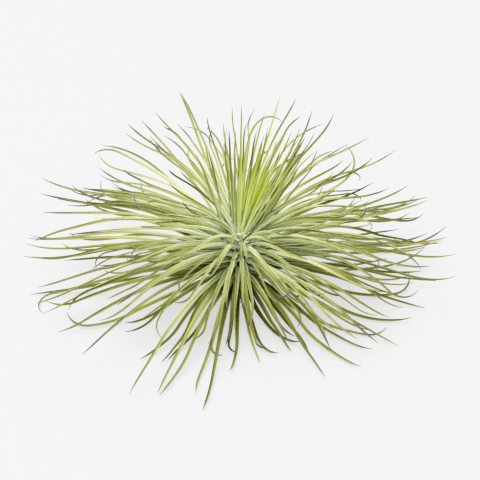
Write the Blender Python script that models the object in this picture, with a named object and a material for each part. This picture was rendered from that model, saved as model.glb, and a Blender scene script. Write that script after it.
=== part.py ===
# Air plant: a stemless tuft of about 200 thin curved leaves round a short brown stub,
# resting on the stub's cut foot. Metres, +Z up, origin at the middle of the foot.
import math
import random

import bmesh
import bpy
import numpy as np
from mathutils import Vector

# Leaves
SEED = 34
OUTER_LEAVES = 142
FIRST_LEAF = 1                                       # the very lowest one has withered away
HEART_LEAVES = 26
GOLDEN_ANGLE = math.radians(137.508)
OUTER_START = (math.radians(-10), math.radians(64))  # above level, oldest and youngest leaf
HEART_START = (math.radians(76), math.radians(88))
START_RISE = 1.05                                    # over 1 gives more low leaves than steep ones
START_SPREAD = math.radians(5)
SHEATH_BEND = math.radians(32)                       # the sheath hugs the stem, then the blade opens out
SHEATH_STEEPEST = math.radians(82)
SHEATH_LENGTH = 0.015
TURN_SPREAD = math.radians(7)
BLADE_WIDTH = 0.0040
BLADE_TIP_WIDTH = 0.0007
BLADE_DEPTH_SHARE = 0.5                              # depth of the three-sided blade over its width
BLADE_LEAST_DEPTH = 0.0006
BLADE_ROOM_SHARE = 0.4                               # half the room that a blade takes, over its width
ROOT_NARROWING = 0.5                                 # width at the core over the full width
ROOT_NARROW_END = 0.18
SLENDER_FROM = 0.6                                   # from this age on the outer leaves get narrower
YOUNG_GIRTH = 0.70                                   # width of the youngest of them over that of the old
HEART_GIRTH = 0.62                                   # the same for a heart leaf

# Length of an outer leaf in each direction, every 30 degrees from the right, anticlockwise from above
REACH = (0.103, 0.106, 0.096, 0.090, 0.096, 0.101, 0.100, 0.084, 0.057, 0.045, 0.053, 0.083)
YOUNG_SHARE = 0.5                                    # a young leaf is this share of the reach, plus a bit
YOUNG_EXTRA = 0.018
YOUNG_AGES = (0.35, 0.95)                            # ages between which the leaves shorten
LENGTH_SPREAD = (0.84, 1.06)
HEART_LENGTH = (0.074, 0.050)                        # the outermost and the innermost

# Bends of a leaf, in degrees: those of the oldest, of the most arched and of the youngest leaf, and the
# extra of the front leaves, which fall steeply to the surface
DROOP_OLD = 14
DROOP_ARCHED = 46
DROOP_YOUNG = 12
DROOP_FRONT = 26
FRONT_FADE = 0.45                                    # how much of that the youngest leaf is spared
DROOP_HEART = 4
ARCHED_AGES = (0.40, 0.55)
DROOP_SPREAD = (0.7, 1.3)
FRONT_TURN = math.radians(8)
SIDE_GATHER = 0.18                                   # back leaves turn towards the sides
SIDE_SWAY_BACK = 32
SIDE_SWAY_FRONT = 22
SIDE_SWAY_FADE = 0.8                                 # how much of the sway the youngest leaf is spared
SWAY_SPREAD = 7
CURL_SPREAD = 18
HOOK_SPREAD = 60
HOOK_CHANCE = 0.3
LIFT_SPREAD = (4, 46)
TWIST_SPREAD = 35
HEART_LIFT = (-8, 6)
HEART_BEND_SHARE = 0.45                              # sideways bends of a heart leaf over those of the others

# The tuft leans towards the right and the front
LEAN_SIDE = math.radians(5)
LEAN_FRONT = math.radians(5)
LEAN_HEART = math.radians(6)                         # extra lean of the heart leaves to the right

# Leaf roots along the axis
OUTER_ROOT_HEIGHT = (0.010, 0.0345)
OUTER_ROOT_RADIUS = (0.0042, 0.0024)
ROOT_RISE = 0.85
HEART_ROOT_HEIGHT = (0.0365, 0.0385)
HEART_ROOT_RADIUS = (0.0010, 0.0002)

# Path of a leaf
PATH_STEPS = 40
STATIONS = (0, 3, 6, 12, 18, 25, 32, 40)             # path points that get a ring of the blade
TIP_START = 0.6                                      # share of the length where the tip lifts and curls
HOOK_START = 0.86
FLOOR_CLEAR = 0.0010                                 # lowest middle line of a blade
FLOOR_LOOK = 0.012                                   # height over which a leaf levels out above the surface

# Clearances between leaves
FREE_FROM = 8                                        # path point where a leaf is out of the crowded core
OUTER_ROOM = 0.0003
HEART_ROOM = 0.0006
OUTER_TRIES = 12
HEART_TRIES = 60

# Stub, core and heart: radius and height of each turned outline, from the bottom up
GAP = 0.0003
MERGE_DISTANCE = 0.000001
STUB_FOOT_RADIUS = 0.0060
STUB_HEIGHT = 0.0092
STUB_OUTLINE = ((0.0060, 0.0), (0.0064, 0.0020), (0.0056, 0.0060), (0.0048, STUB_HEIGHT))
CORE_OUTLINE = ((0.0052, STUB_HEIGHT + GAP), (0.0090, 0.0120), (0.0110, 0.0170), (0.0108, 0.0230),
                (0.0094, 0.0290), (0.0072, 0.0340), (0.0050, 0.0368))
HEART_OUTLINE = ((0.0010, 0.0334), (0.0018, 0.0342), (0.0022, 0.0366), (0.0021, 0.0391), (0.0014, 0.0416),
                 (0.0006, 0.0428))
CUP_SLOPE = 0.25                                     # how fast the hollow round the heart widens
CUP_TOP = 0.056
TURNED_SIDES = 14
SCALE_ROWS = 3                                       # dry leaf bases on the stub
SCALES_A_ROW = 6
SCALE_FIRST_ROW = 0.10                               # heights of the rows over the stub's height
SCALE_ROW_STEP = 0.24
SCALE_RISE = 0.0038
SCALE_WIDTH = 0.0042
SCALE_DEPTH = 0.0018
SCALE_SUNK = 0.0016
SCALE_NARROWING = 0.8                                # outer face of a scale over its inner face
SCALE_TOP_GAP = 0.0008

# Leaves that stand out of the rule: direction and start above level, length in mm, droop, sway, lift
# and curl of the tip in degrees, and age from 0 (oldest) to 1
STRAYS = (
    (110, 35, 85, 12, 12, 0, 6, 0.55),
    (118, 34, 82, 10, -4, 14, 12, 0.60),
    (138, 28, 86, 12, 14, -20, 30, 0.45),
    (130, 32, 80, 14, 6, 8, 10, 0.50),
    (100, 50, 74, 10, -34, -96, -70, 0.90),
    (56, 36, 78, 10, 10, 14, 4, 0.55),
    (30, 30, 84, 20, 4, 20, 110, 0.50),
    (18, 18, 96, 20, 0, 14, 6, 0.40),
    (12, 12, 106, 32, 2, 66, 8, 0.20),
    (28, 14, 100, 22, -6, 20, -10, 0.35),
    (4, 18, 102, 30, 8, 20, 10, 0.30),
    (22, 15, 96, 24, 4, 16, 6, 0.34),
    (9, 13, 90, 26, -8, 26, 14, 0.32),
    (16, 30, 86, 18, -4, 24, 10, 0.42),
    (-6, 10, 92, 44, 2, 30, -20, 0.15),
    (-20, 6, 86, 54, 6, 36, 22, 0.10),
    (-36, 2, 74, 50, 6, 34, 0, 0.08),
    (-38, 22, 80, 48, 8, 12, -10, 0.38),
    (-46, 4, 76, 52, 6, 26, 12, 0.14),
    (-52, 8, 70, 56, -2, 20, -14, 0.18),
    (-64, -24, 46, 46, 20, 40, 40, 0.04),
    (-72, -26, 47, 40, 0, 40, 60, 0.03),
    (-88, -22, 52, 40, 0, 30, -30, 0.02),
    (-102, 0, 77, 44, 2, 20, 0, 0.12),
    (-106, -6, 68, 40, -2, 26, 14, 0.10),
    (-115, 2, 76, 42, -4, 20, -6, 0.14),
    (-119, 6, 77, 44, -4, 20, 10, 0.18),
    (-125, 14, 88, 50, -6, 16, 12, 0.28),
    (-132, -2, 64, 44, 0, 22, -20, 0.10),
    (-148, 10, 88, 40, 2, 20, 10, 0.26),
    (-160, 4, 90, 38, -4, 10, 0, 0.12),
    (-177, 8, 96, 38, 0, 16, 6, 0.18),
    (173, 12, 101, 30, 4, 10, -10, 0.30),
    (158, 14, 100, 24, 8, 30, 20, 0.30),
)


def mix(a, b, t):
    return a + (b - a) * t


def smooth(t):
    t = max(0.0, min(1.0, t))
    return t * t * (3 - 2 * t)


def lean(x, y, z):
    # Tips a point or a direction over with the tuft, round the middle of the foot
    c, s = math.cos(LEAN_SIDE), math.sin(LEAN_SIDE)
    x, z = x * c + z * s, z * c - x * s
    c, s = math.cos(LEAN_FRONT), math.sin(LEAN_FRONT)
    y, z = y * c - z * s, y * s + z * c
    return x, y, z


def reach_at(azimuth):
    place = (azimuth / (2 * math.pi) * len(REACH)) % len(REACH)
    low = int(place)
    return mix(REACH[low], REACH[(low + 1) % len(REACH)], smooth(place - low))


def leaf_droop(age, azimuth):
    front = max(0.0, -math.sin(azimuth + FRONT_TURN))
    arched = mix(DROOP_OLD, DROOP_ARCHED, smooth(age / ARCHED_AGES[0]))
    along = mix(arched, DROOP_YOUNG, smooth((age - ARCHED_AGES[1]) / (1 - ARCHED_AGES[1])))
    return along + DROOP_FRONT * front ** 2 * (1 - FRONT_FADE * age)


def leaf_length(age, azimuth):
    reach = reach_at(azimuth)
    young = smooth((age - YOUNG_AGES[0]) / (YOUNG_AGES[1] - YOUNG_AGES[0]))
    return mix(reach, YOUNG_SHARE * reach + YOUNG_EXTRA, young)


def draw_leaf(n, attempt):
    # One leaf of the rule. Leaves turn by the golden angle and rise from the oldest to the youngest.
    draw = random.Random(SEED * 100003 + n * 101 + attempt)
    age = n / (OUTER_LEAVES + HEART_LEAVES - 1)
    azimuth = n * GOLDEN_ANGLE + draw.uniform(-1, 1) * TURN_SPREAD
    if math.sin(azimuth) > 0:
        azimuth -= SIDE_GATHER * (1 - age) * math.sin(2 * azimuth)
    side_sway = SIDE_SWAY_BACK if math.sin(azimuth) > 0 else SIDE_SWAY_FRONT
    side_sway *= math.sin(2 * azimuth) * (1 - SIDE_SWAY_FADE * age)
    if n >= OUTER_LEAVES:
        share = (n - OUTER_LEAVES) / (HEART_LEAVES - 1)
        start = mix(*HEART_START, share) + draw.uniform(-0.5, 0.5) * START_SPREAD
        height = mix(*HEART_ROOT_HEIGHT, share)
        radius = mix(*HEART_ROOT_RADIUS, share)
    else:
        share = n / (OUTER_LEAVES - 1)
        start = math.asin(mix(math.sin(OUTER_START[0]), math.sin(OUTER_START[1]), share ** START_RISE))
        start = min(start + draw.uniform(-1, 1) * START_SPREAD, OUTER_START[1])
        height = mix(*OUTER_ROOT_HEIGHT, share ** ROOT_RISE)
        radius = mix(*OUTER_ROOT_RADIUS, share)
    if n >= OUTER_LEAVES:
        return {
            "azimuth": azimuth,
            "start": start,
            "tip_over": LEAN_HEART,
            "sheath": 0.0,
            "height": height,
            "radius": radius,
            "girth": HEART_GIRTH,
            "length": mix(*HEART_LENGTH, share) * draw.uniform(*LENGTH_SPREAD),
            "droop": math.radians(DROOP_HEART * draw.uniform(*DROOP_SPREAD)),
            "sway": math.radians(draw.gauss(0, SWAY_SPREAD) * HEART_BEND_SHARE),
            "curl": math.radians(draw.gauss(0, CURL_SPREAD) * HEART_BEND_SHARE),
            "hook": 0.0,
            "lift": math.radians(draw.uniform(*HEART_LIFT)),
            "twist": math.radians(draw.gauss(0, TWIST_SPREAD)),
        }
    return {
        "azimuth": azimuth,
        "start": start,
        "sheath": max(0.0, min(SHEATH_BEND, SHEATH_STEEPEST - start)),
        "height": height,
        "radius": radius,
        "tip_over": 0.0,
        "girth": mix(1.0, YOUNG_GIRTH, smooth((age - SLENDER_FROM) / (1 - SLENDER_FROM))),
        "length": leaf_length(age, azimuth) * draw.uniform(*LENGTH_SPREAD),
        "droop": math.radians(leaf_droop(age, azimuth) * draw.uniform(*DROOP_SPREAD)),
        "sway": math.radians(draw.gauss(0, SWAY_SPREAD) - side_sway),
        "curl": math.radians(draw.gauss(0, CURL_SPREAD)),
        "hook": math.radians(draw.gauss(0, HOOK_SPREAD)) if draw.random() < HOOK_CHANCE else 0.0,
        "lift": math.radians(draw.uniform(*LIFT_SPREAD)),
        "twist": math.radians(draw.gauss(0, TWIST_SPREAD)),
    }


def stray_leaf(row):
    azimuth, start, length, droop, sway, lift, curl, age = row
    return {
        "azimuth": math.radians(azimuth),
        "start": math.radians(start),
        "sheath": SHEATH_BEND,
        "height": mix(*OUTER_ROOT_HEIGHT, age ** ROOT_RISE),
        "radius": mix(*OUTER_ROOT_RADIUS, age),
        "tip_over": 0.0,
        "girth": mix(1.0, YOUNG_GIRTH, smooth((age - SLENDER_FROM) / (1 - SLENDER_FROM))),
        "length": length / 1000,
        "droop": math.radians(droop),
        "sway": math.radians(sway),
        "curl": math.radians(curl),
        "hook": 0.0,
        "lift": math.radians(lift),
        "twist": 0.0,
    }


def leaf_path(leaf):
    # Middle line of a leaf with its heading and pitch: it opens out of its sheath, droops most halfway,
    # lifts and curls at the tip, and levels out above the surface
    h, p = leaf["azimuth"], leaf["start"]
    dx, dy, dz = lean(math.cos(p) * math.cos(h), math.cos(p) * math.sin(h), math.sin(p))
    c, s = math.cos(leaf["tip_over"]), math.sin(leaf["tip_over"])
    dx, dz = dx * c + dz * s, dz * c - dx * s
    x, y, z = lean(leaf["radius"] * math.cos(h), leaf["radius"] * math.sin(h), leaf["height"])
    heading, pitch = math.atan2(dy, dx), math.asin(max(-1.0, min(1.0, dz)))
    pitch += leaf["sheath"]
    path = [(x, y, z, heading, pitch)]
    step = leaf["length"] / PATH_STEPS
    closed = leaf["sheath"]
    for k in range(PATH_STEPS):
        t = (k + 0.5) / PATH_STEPS
        bend = 2 * t if t < 0.5 else 2 * (1 - t)
        tip = max(0.0, t - TIP_START) / (1 - TIP_START)
        hook = 1.0 if t > HOOK_START else 0.0
        opening = min(closed, leaf["sheath"] * step / SHEATH_LENGTH)
        closed -= opening
        pitch -= opening + leaf["droop"] * bend * 2 / PATH_STEPS
        pitch += leaf["lift"] * tip * 2 / (PATH_STEPS * (1 - TIP_START))
        heading += leaf["sway"] / PATH_STEPS + leaf["curl"] * tip * 2 / (PATH_STEPS * (1 - TIP_START))
        heading += leaf["hook"] * hook / (PATH_STEPS * (1 - HOOK_START))
        pitch = max(pitch, -math.asin(max(0.0, min(1.0, (z - FLOOR_CLEAR) / FLOOR_LOOK))))
        x += step * math.cos(pitch) * math.cos(heading)
        y += step * math.cos(pitch) * math.sin(heading)
        z = max(FLOOR_CLEAR, z + step * math.sin(pitch))
        path.append((x, y, z, heading, pitch))
    return path


def blade_width(t, girth):
    narrowing = mix(ROOT_NARROWING, 1.0, smooth(t / ROOT_NARROW_END))
    return mix(BLADE_WIDTH, BLADE_TIP_WIDTH, t) * narrowing * girth


def free_points(path, girth):
    # The path past the crowded core, with half the blade's room in a fourth column
    free = range(FREE_FROM, PATH_STEPS + 1)
    return np.array([(*path[k][:3], BLADE_ROOM_SHARE * blade_width(k / PATH_STEPS, girth)) for k in free])


def room(own, there):
    # Smallest gap between a leaf's points and the points of the leaves already there
    own = np.concatenate([own, (own[1:] + own[:-1]) / 2])
    squares = (own[:, :3] ** 2).sum(1)[:, None] + (there[:, :3] ** 2).sum(1)[None]
    squares -= 2 * own[:, :3] @ there[:, :3].T
    return float((np.sqrt(np.maximum(squares, 0.0)) - own[:, 3:] - there[:, 3][None]).min())


def grow():
    # All leaves, each drawn again until it has room, or with the most room it found
    outer = [stray_leaf(row) for row in STRAYS]
    heart = []
    there = np.concatenate([free_points(leaf_path(leaf), leaf["girth"]) for leaf in outer])
    for n in range(FIRST_LEAF, OUTER_LEAVES + HEART_LEAVES):
        young = n >= OUTER_LEAVES
        best = None
        for attempt in range(HEART_TRIES if young else OUTER_TRIES):
            leaf = draw_leaf(n, attempt)
            points = free_points(leaf_path(leaf), leaf["girth"])
            free = room(points, there)
            if best is None or free > best[0]:
                best = (free, leaf, points)
            if free > (HEART_ROOM if young else OUTER_ROOM):
                break
        (heart if young else outer).append(best[1])
        there = np.concatenate([there, best[2]])
    return outer, heart


def add_object(name, mesh, collection=None):
    thing = bpy.data.objects.new(name, mesh)
    (collection or bpy.context.scene.collection).objects.link(thing)
    return thing


def add_material(thing, name, colour, roughness):
    material = bpy.data.materials.new(name)
    material.use_nodes = True
    shader = material.node_tree.nodes["Principled BSDF"]
    shader.inputs["Base Color"].default_value = (*colour, 1.0)
    shader.inputs["Roughness"].default_value = roughness
    shader.inputs["Metallic"].default_value = 0.0
    thing.data.materials.clear()
    thing.data.materials.append(material)


def mesh_from(name, build):
    # A mesh made by a function that fills a bmesh, split into triangles with its faces pointing out
    bm = bmesh.new()
    build(bm)
    bmesh.ops.triangulate(bm, faces=bm.faces[:])
    bmesh.ops.recalc_face_normals(bm, faces=bm.faces[:])
    mesh = bpy.data.meshes.new(name)
    bm.to_mesh(mesh)
    bm.free()
    return mesh


def skin(bm, rings, tip=None):
    # Side faces between rings of equal count, a lid at the foot, and a lid or a point at the far end
    for low, high in zip(rings, rings[1:]):
        for k in range(len(low)):
            after = (k + 1) % len(low)
            bm.faces.new((low[k], low[after], high[after], high[k]))
    bm.faces.new(rings[0][::-1])
    last = rings[-1]
    if tip is None:
        bm.faces.new(last)
        return
    for k in range(len(last)):
        bm.faces.new((last[k], last[(k + 1) % len(last)], tip))


def blade(bm, leaf):
    # Three-sided tapering blade: a flat upper face and a keel below, ending in a point
    path = leaf_path(leaf)
    rings = []
    for k in STATIONS[:-1]:
        x, y, z, heading, pitch = path[k]
        t = k / PATH_STEPS
        place = Vector((x, y, z))
        side = Vector((-math.sin(heading), math.cos(heading), 0.0))
        face = Vector((0.0, 0.0, math.cos(pitch)))
        face -= Vector((math.cos(heading), math.sin(heading), 0.0)) * math.sin(pitch)
        roll = leaf["twist"] * smooth(t)
        across = side * math.cos(roll) + face * math.sin(roll)
        above = face * math.cos(roll) - side * math.sin(roll)
        width = blade_width(t, leaf["girth"])
        depth = max(BLADE_DEPTH_SHARE * width, BLADE_LEAST_DEPTH)
        corners = (place - across * width / 2 + above * depth / 3, place - above * depth * 2 / 3,
                   place + across * width / 2 + above * depth / 3)
        rings.append([bm.verts.new(corner) for corner in corners])
    skin(bm, rings, tip=bm.verts.new(path[-1][:3]))


def turned(bm, outline, lean_share=None):
    # Turned body that leans with the tuft: lean_share gives how much of the lean each height takes
    rings = []
    for radius, height in outline:
        share = lean_share(height) if lean_share else 1.0
        ring = []
        for k in range(TURNED_SIDES):
            turn = 2 * math.pi * k / TURNED_SIDES
            straight = Vector((radius * math.cos(turn), radius * math.sin(turn), height))
            ring.append(bm.verts.new(straight.lerp(Vector(lean(*straight)), share)))
        rings.append(ring)
    skin(bm, rings)


def cup_outline():
    # The hollow round the heart: its outline a gap wider, then widening up and out of the tuft
    low = [(HEART_OUTLINE[0][0] + GAP, HEART_OUTLINE[0][1] - GAP)]
    low += [(radius + GAP, height) for radius, height in HEART_OUTLINE[1:3]]
    radius, height = low[-1]
    return low + [(radius + CUP_SLOPE * (CUP_TOP - height), CUP_TOP)]


def stub_scale(bm, row, k):
    # Dry base of an old leaf: a short pointed wedge lying up along the stub
    turn = 2 * math.pi * (k + 0.5 * (row % 2)) / SCALES_A_ROW
    foot = STUB_HEIGHT * (SCALE_FIRST_ROW + SCALE_ROW_STEP * row)
    peak = min(foot + SCALE_RISE, STUB_HEIGHT - SCALE_TOP_GAP)
    outward = Vector((math.cos(turn), math.sin(turn), 0.0))
    side = Vector((-math.sin(turn), math.cos(turn), 0.0))
    rings = []
    for share, width in ((0.0, 0.8), (0.5, 1.0)):
        middle = outward * (STUB_FOOT_RADIUS - SCALE_SUNK) + Vector((0.0, 0.0, mix(foot, peak, share)))
        inner = side * SCALE_WIDTH * width / 2
        front = outward * SCALE_DEPTH
        outer = inner * SCALE_NARROWING
        corners = (middle - inner, middle + inner, middle + outer + front, middle - outer + front)
        rings.append([bm.verts.new(corner) for corner in corners])
    tip = outward * (STUB_FOOT_RADIUS - SCALE_SUNK + SCALE_DEPTH) + Vector((0.0, 0.0, peak))
    skin(bm, rings, tip=bm.verts.new(tip))


def fuse(name, body_mesh, parts):
    # One Boolean union of a body with a collection of parts, applied
    body = add_object(name, body_mesh)
    collection = bpy.data.collections.new(name + "_parts")
    bpy.context.scene.collection.children.link(collection)
    for k, mesh in enumerate(parts):
        add_object(f"{name}_part_{k}", mesh, collection)
    union = body.modifiers.new("union", "BOOLEAN")
    union.operation = "UNION"
    union.operand_type = "COLLECTION"
    union.collection = collection
    apply_modifiers(body)
    for thing in list(collection.objects):
        bpy.data.objects.remove(thing)
    bpy.data.collections.remove(collection)
    return body


def cut(body, cutter_mesh):
    cutter = add_object("cutter", cutter_mesh)
    difference = body.modifiers.new("cut", "BOOLEAN")
    difference.operation = "DIFFERENCE"
    difference.object = cutter
    apply_modifiers(body)
    bpy.data.objects.remove(cutter)


def apply_modifiers(body):
    bpy.context.view_layer.update()
    evaluated = body.evaluated_get(bpy.context.evaluated_depsgraph_get())
    mesh = bpy.data.meshes.new_from_object(evaluated)
    body.modifiers.clear()
    body.data = mesh


def tidy(body):
    # Joins points that all but coincide, keeps the largest closed body and splits its faces into triangles
    bm = bmesh.new()
    bm.from_mesh(body.data)
    bmesh.ops.remove_doubles(bm, verts=bm.verts[:], dist=MERGE_DISTANCE)
    bmesh.ops.dissolve_degenerate(bm, edges=bm.edges[:], dist=MERGE_DISTANCE)
    bmesh.ops.triangulate(bm, faces=bm.faces[:])
    left = set(bm.verts)
    bodies = []
    while left:
        grown = {left.pop()}
        edge = list(grown)
        while edge:
            found = {e.other_vert(v) for v in edge for e in v.link_edges} - grown
            grown |= found
            edge = list(found)
        left -= grown
        bodies.append(grown)
    bodies.sort(key=len)
    for scrap in bodies[:-1]:
        bmesh.ops.delete(bm, geom=list(scrap), context="VERTS")
    bm.to_mesh(body.data)
    bm.free()
    print(body.name, "triangles", len(body.data.polygons), "scraps", [len(b) for b in bodies[:-1]])


def make_outer_leaves(leaves):
    body = fuse("outer_leaves", mesh_from("core", lambda bm: turned(bm, CORE_OUTLINE)),
                [mesh_from("blade", lambda bm, leaf=leaf: blade(bm, leaf)) for leaf in leaves])
    cut(body, mesh_from("cup", lambda bm: turned(bm, cup_outline())))
    tidy(body)
    add_material(body, "outer_leaf_green", (0.32, 0.34, 0.13), 0.6)


def make_heart_leaves(leaves):
    body = fuse("heart_leaves", mesh_from("heart", lambda bm: turned(bm, HEART_OUTLINE)),
                [mesh_from("blade", lambda bm, leaf=leaf: blade(bm, leaf)) for leaf in leaves])
    tidy(body)
    add_material(body, "heart_leaf_green", (0.46, 0.56, 0.10), 0.55)


def make_stub():
    stub = mesh_from("stub", lambda bm: turned(bm, STUB_OUTLINE, lambda z: z / STUB_HEIGHT))
    body = fuse("stem_stub", stub, [mesh_from("scale", lambda bm, row=row, k=k: stub_scale(bm, row, k))
                                    for row in range(SCALE_ROWS) for k in range(SCALES_A_ROW)])
    tidy(body)
    add_material(body, "stub_brown", (0.16, 0.10, 0.055), 0.85)


def main():
    for thing in list(bpy.data.objects):
        bpy.data.objects.remove(thing)
    outer, heart = grow()
    make_outer_leaves(outer)
    make_heart_leaves(heart)
    make_stub()


main()
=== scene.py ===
# Air plant lying on a pale surface: fine leaves, a bright heart and a dry stub
# in place of the plain solids of the loaded frame. Metres, +Z up.
import math
import random

import bpy
import numpy as np
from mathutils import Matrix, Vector


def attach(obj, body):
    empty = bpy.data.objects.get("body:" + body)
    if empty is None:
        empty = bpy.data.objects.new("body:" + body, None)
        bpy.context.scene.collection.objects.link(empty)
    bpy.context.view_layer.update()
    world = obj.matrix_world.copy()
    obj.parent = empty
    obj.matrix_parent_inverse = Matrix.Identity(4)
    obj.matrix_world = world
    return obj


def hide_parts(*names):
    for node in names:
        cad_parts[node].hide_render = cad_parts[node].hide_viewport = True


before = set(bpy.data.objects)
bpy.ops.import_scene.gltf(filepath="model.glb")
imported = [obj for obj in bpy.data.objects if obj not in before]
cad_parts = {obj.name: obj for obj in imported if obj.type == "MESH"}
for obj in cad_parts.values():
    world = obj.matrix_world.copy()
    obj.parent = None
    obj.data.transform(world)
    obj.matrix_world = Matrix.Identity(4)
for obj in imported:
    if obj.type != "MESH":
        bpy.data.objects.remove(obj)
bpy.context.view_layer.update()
print("frame loaded:", sorted(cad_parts))

# How the tuft grows: the same rule as the solids, so each fine leaf lies where its solid one does
tuft = {
    "seed": 34,
    "outerLeaves": 142,
    "firstLeaf": 1,
    "heartLeaves": 26,
    "goldenAngle": math.radians(137.508),
    "outerStart": (math.radians(-10), math.radians(64)),
    "heartStart": (math.radians(76), math.radians(88)),
    "startRise": 1.05,
    "startSpread": math.radians(5),
    "sheathBend": math.radians(32),
    "sheathSteepest": math.radians(82),
    "sheathLength": 0.015,
    "turnSpread": math.radians(7),
    "reach": (0.103, 0.106, 0.096, 0.090, 0.096, 0.101, 0.100, 0.084, 0.057, 0.045, 0.053, 0.083),
    "youngShare": 0.5,
    "youngExtra": 0.018,
    "youngAges": (0.35, 0.95),
    "lengthSpread": (0.84, 1.06),
    "heartLength": (0.074, 0.050),
    "youngGirth": 0.70,
    "heartGirth": 0.62,
    "slenderFrom": 0.6,
    "leanSide": math.radians(5),
    "leanFront": math.radians(5),
    "leanHeart": math.radians(6),
    "outerRootHeight": (0.010, 0.0345),
    "outerRootRadius": (0.0042, 0.0024),
    "heartRootHeight": (0.0365, 0.0385),
    "heartRootRadius": (0.0010, 0.0002),
    "rootRise": 0.85,
}
bends = {  # angles in degrees
    "droopOld": 14,
    "droopArched": 46,
    "droopYoung": 12,
    "droopFront": 26,
    "frontFade": 0.45,
    "droopHeart": 4,
    "archedAges": (0.40, 0.55),
    "droopSpread": (0.7, 1.3),
    "frontTurn": 8,
    "sideGather": 0.18,
    "sideSwayBack": 32,
    "sideSwayFront": 22,
    "sideSwayFade": 0.8,
    "swaySpread": 7,
    "curlSpread": 18,
    "hookSpread": 60,
    "hookChance": 0.3,
    "liftSpread": (4, 46),
    "twistSpread": 35,
    "heartLift": (-8, 6),
    "heartBendShare": 0.45,
    "tipStart": 0.6,
    "hookStart": 0.86,
}
path = {
    "steps": 40,
    "floorClear": 0.0010,
    "floorTouch": 0.0001,  # lowest place of any point of the leaves' skin
    "floorLook": 0.012,
    "freeFrom": 8,
    "outerRoom": 0.0003,
    "heartRoom": 0.0006,
    "outerTries": 12,
    "heartTries": 60,
    "solidWidth": 0.0040,
    "solidTipWidth": 0.0007,
    "roomShare": 0.4,
    "rootNarrowing": 0.5,
    "rootNarrowEnd": 0.18,
}
# Leaves that stand out: direction and start above level, length in mm, droop, sway, lift and curl, age
strays = (
    (110, 35, 85, 12, 12, 0, 6, 0.55),
    (118, 34, 82, 10, -4, 14, 12, 0.60),
    (138, 28, 86, 12, 14, -20, 30, 0.45),
    (130, 32, 80, 14, 6, 8, 10, 0.50),
    (100, 50, 74, 10, -34, -96, -70, 0.90),
    (56, 36, 78, 10, 10, 14, 4, 0.55),
    (30, 30, 84, 20, 4, 20, 110, 0.50),
    (18, 18, 96, 20, 0, 14, 6, 0.40),
    (12, 12, 106, 32, 2, 66, 8, 0.20),
    (28, 14, 100, 22, -6, 20, -10, 0.35),
    (4, 18, 102, 30, 8, 20, 10, 0.30),
    (22, 15, 96, 24, 4, 16, 6, 0.34),
    (9, 13, 90, 26, -8, 26, 14, 0.32),
    (16, 30, 86, 18, -4, 24, 10, 0.42),
    (-6, 10, 92, 44, 2, 30, -20, 0.15),
    (-20, 6, 86, 54, 6, 36, 22, 0.10),
    (-36, 2, 74, 50, 6, 34, 0, 0.08),
    (-38, 22, 80, 48, 8, 12, -10, 0.38),
    (-46, 4, 76, 52, 6, 26, 12, 0.14),
    (-52, 8, 70, 56, -2, 20, -14, 0.18),
    (-64, -24, 46, 46, 20, 40, 40, 0.04),
    (-72, -26, 47, 40, 0, 40, 60, 0.03),
    (-88, -22, 52, 40, 0, 30, -30, 0.02),
    (-102, 0, 77, 44, 2, 20, 0, 0.12),
    (-106, -6, 68, 40, -2, 26, 14, 0.10),
    (-115, 2, 76, 42, -4, 20, -6, 0.14),
    (-119, 6, 77, 44, -4, 20, 10, 0.18),
    (-125, 14, 88, 50, -6, 16, 12, 0.28),
    (-132, -2, 64, 44, 0, 22, -20, 0.10),
    (-148, 10, 88, 40, 2, 20, 10, 0.26),
    (-160, 4, 90, 38, -4, 10, 0, 0.12),
    (-177, 8, 96, 38, 0, 16, 6, 0.18),
    (173, 12, 101, 30, 4, 10, -10, 0.30),
    (158, 14, 100, 24, 8, 30, 20, 0.30),
)


def mix(a, b, t):
    return a + (b - a) * t


def smooth(t):
    t = np.clip(t, 0, 1)
    return t * t * (3 - 2 * t)


def lean(x, y, z):
    c, s = math.cos(tuft["leanSide"]), math.sin(tuft["leanSide"])
    x, z = x * c + z * s, z * c - x * s
    c, s = math.cos(tuft["leanFront"]), math.sin(tuft["leanFront"])
    y, z = y * c - z * s, y * s + z * c
    return x, y, z


def reachAt(azimuth):
    reach = tuft["reach"]
    place = (azimuth / (2 * math.pi) * len(reach)) % len(reach)
    low = int(place)
    return mix(reach[low], reach[(low + 1) % len(reach)], smooth(place - low))


def leafDroop(age, azimuth):
    front = max(0.0, -math.sin(azimuth + math.radians(bends["frontTurn"])))
    archedEnd, youngStart = bends["archedAges"]
    arched = mix(bends["droopOld"], bends["droopArched"], smooth(age / archedEnd))
    along = mix(arched, bends["droopYoung"], smooth((age - youngStart) / (1 - youngStart)))
    return along + bends["droopFront"] * front ** 2 * (1 - bends["frontFade"] * age)


def leafLength(age, azimuth):
    reach = reachAt(azimuth)
    first, last = tuft["youngAges"]
    young = tuft["youngShare"] * reach + tuft["youngExtra"]
    return mix(reach, young, smooth((age - first) / (last - first)))


def leafGirth(age):
    first = tuft["slenderFrom"]
    return mix(1.0, tuft["youngGirth"], smooth((age - first) / (1 - first)))


def drawBends(draw, droop, sideSway, share, lift, hooks):
    # In degrees, in the order in which they are drawn; only some of the tips that may hook do
    drawn = {
        "droop": droop * draw.uniform(*bends["droopSpread"]),
        "sway": draw.gauss(0, bends["swaySpread"]) * share - sideSway,
        "curl": draw.gauss(0, bends["curlSpread"]) * share,
        "hook": draw.gauss(0, bends["hookSpread"]) if hooks and draw.random() < bends["hookChance"] else 0.0,
        "lift": draw.uniform(*lift),
        "twist": draw.gauss(0, bends["twistSpread"]),
    }
    return {key: math.radians(value) for key, value in drawn.items()}


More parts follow.
